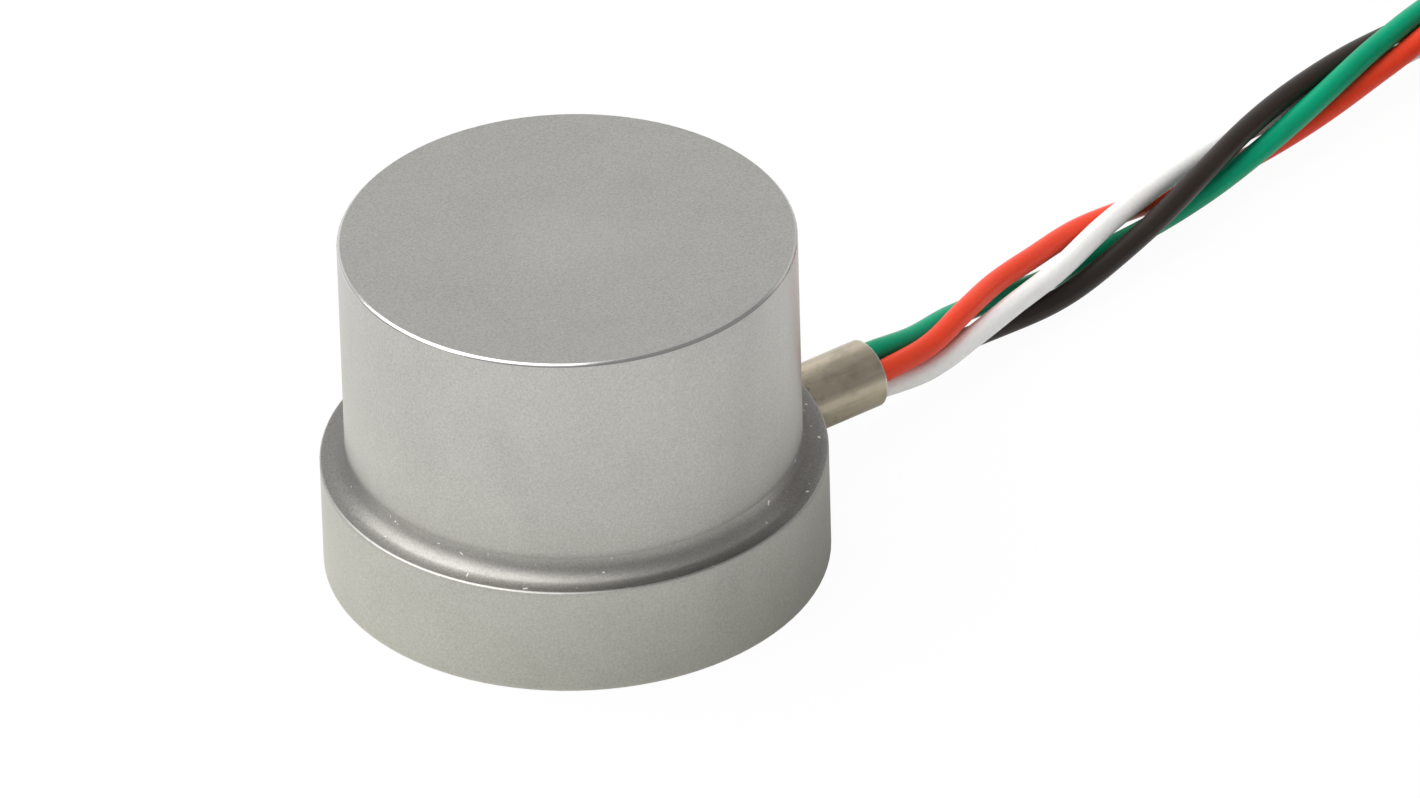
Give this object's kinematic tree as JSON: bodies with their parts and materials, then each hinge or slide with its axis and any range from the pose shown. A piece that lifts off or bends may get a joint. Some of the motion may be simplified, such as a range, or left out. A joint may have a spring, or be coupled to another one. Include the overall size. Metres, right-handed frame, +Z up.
{
  "type": "button load cell",
  "caption": "Flanged cylindrical compression load cell, gauged inside its hollow column, with a flat load face and twisted flying leads from a side tube.",
  "frame": {"origin": "centre of the base face, on the load axis", "axes": "+Z up along the load axis from the base to the load face; +X out along the lead tube"},
  "size_m": [0.0836, 0.0308, 0.0146],
  "materials": {
    "stainless": "bead-blasted, fine grain",
    "tube_metal": "drawn tube, slightly tarnished",
    "epoxy": "cured epoxy",
    "gauge_film": "polyimide film with etched foil",
    "jumper_wire": "enamelled copper",
    "solder": "solder, bright",
    "laminate": "glass-epoxy laminate",
    "resistor": "coated ceramic",
    "lead_red": "extruded fluoropolymer",
    "lead_green": "extruded fluoropolymer",
    "lead_black": "extruded fluoropolymer",
    "lead_white": "extruded fluoropolymer",
    "tie": "natural nylon"
  },
  "bodies": {
    "root": {"sensing_body": "stainless", "base_cover": "stainless", "lead_tube": "tube_metal", "tube_potting": "epoxy", "axial_gauge_a": "gauge_film", "axial_gauge_b": "gauge_film", "hoop_gauge_a": "gauge_film", "hoop_gauge_b": "gauge_film", "gauge_jumpers": "jumper_wire", "jumper_joints": "solder", "terminal_board": "laminate", "span_resistor_a": "resistor", "span_resistor_b": "resistor", "balance_resistor": "resistor", "drift_resistor": "resistor", "lead_cores": "solder", "lead_joints": "solder", "red_lead": "lead_red", "green_lead": "lead_green", "black_lead": "lead_black", "white_lead": "lead_white", "lead_coil": "lead_white", "coil_tie": "tie", "lead_tails": "lead_white", "tinned_ends": "solder"}
  },
  "joints": []
}
